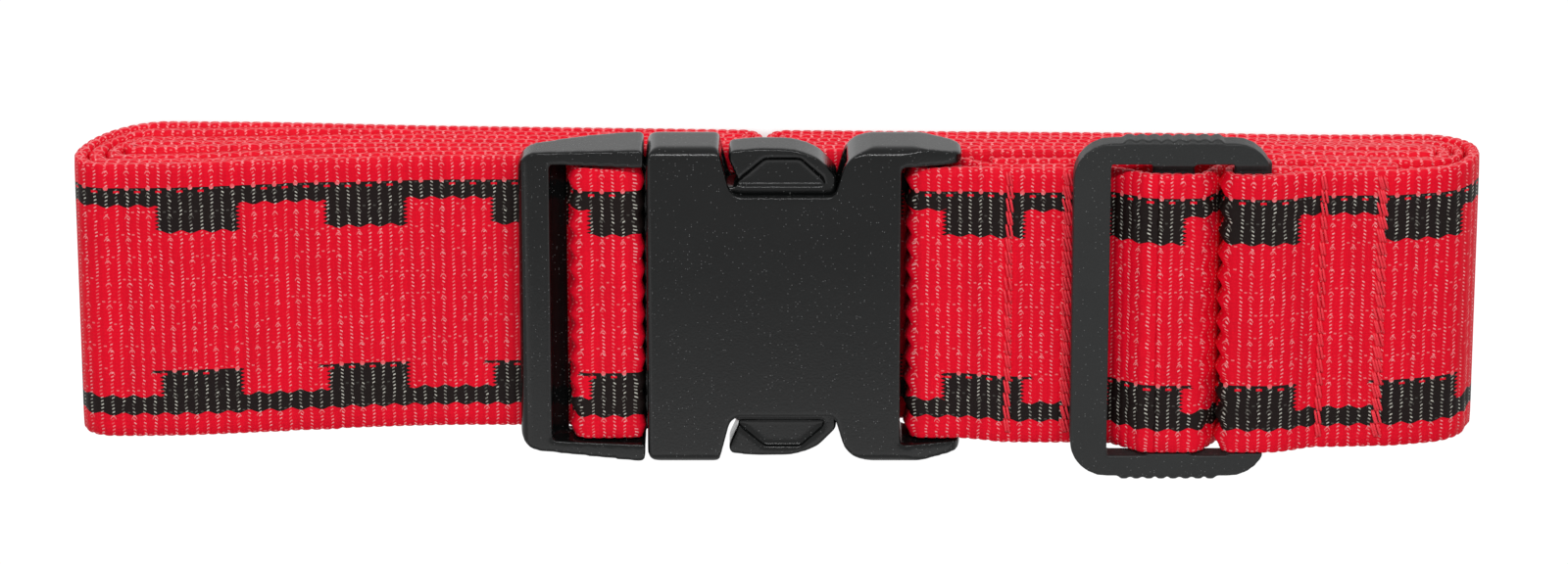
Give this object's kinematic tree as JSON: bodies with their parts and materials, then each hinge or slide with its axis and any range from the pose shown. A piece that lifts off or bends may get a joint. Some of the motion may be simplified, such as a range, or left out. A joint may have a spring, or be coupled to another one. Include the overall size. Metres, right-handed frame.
{
  "type": "luggage strap",
  "caption": "Wide woven luggage strap with a side-release buckle and a three-bar slide, folded flat for storage.",
  "frame": {"origin": "centre of the folded bundle's underside, on the surface that it lies on", "axes": "+X along the folded bundle towards the slide, +Y across the webbing, +Z out of the buckle's face"},
  "size_m": [0.2432, 0.0628, 0.0248],
  "materials": {
    "webbing": "woven polypropylene webbing, red with black dashed stripes",
    "thread": "red polyester sewing thread",
    "buckle_plastic": "black moulded acetal with a fine spark-eroded texture",
    "slide_plastic": "dark grey moulded acetal with a matte grain"
  },
  "bodies": {
    "strap": {"webbing": "webbing", "socket_stitching": "thread", "socket": "buckle_plastic"},
    "plug": {"plug": "buckle_plastic"},
    "upper_prong": {"upper_prong": "buckle_plastic"},
    "lower_prong": {"lower_prong": "buckle_plastic"},
    "slide": {"three_bar_slide": "slide_plastic", "slide_stitching": "thread"}
  },
  "joints": [
    {"name": "buckle_release", "type": "slide", "parent": "strap", "child": "plug", "axis": [-1, 0, 0], "range_m": [0, 0.035], "deforming": ["webbing", "upper_prong", "lower_prong"]},
    {"name": "upper_prong_press", "type": "hinge", "parent": "plug", "child": "upper_prong", "pos_m": [-0.01795, 0.0195, 0.017], "axis": [0, 0, -1], "range_deg": [0, 12], "stiffness_Nm_per_rad": 0.4},
    {"name": "lower_prong_press", "type": "hinge", "parent": "plug", "child": "lower_prong", "pos_m": [-0.01795, -0.0195, 0.017], "axis": [0, 0, 1], "range_deg": [0, 12], "stiffness_Nm_per_rad": 0.4},
    {"name": "strap_adjust", "type": "slide", "parent": "strap", "child": "slide", "axis": [1, 0, 0], "range_m": [0, 0.008], "deforming": ["webbing"]}
  ]
}
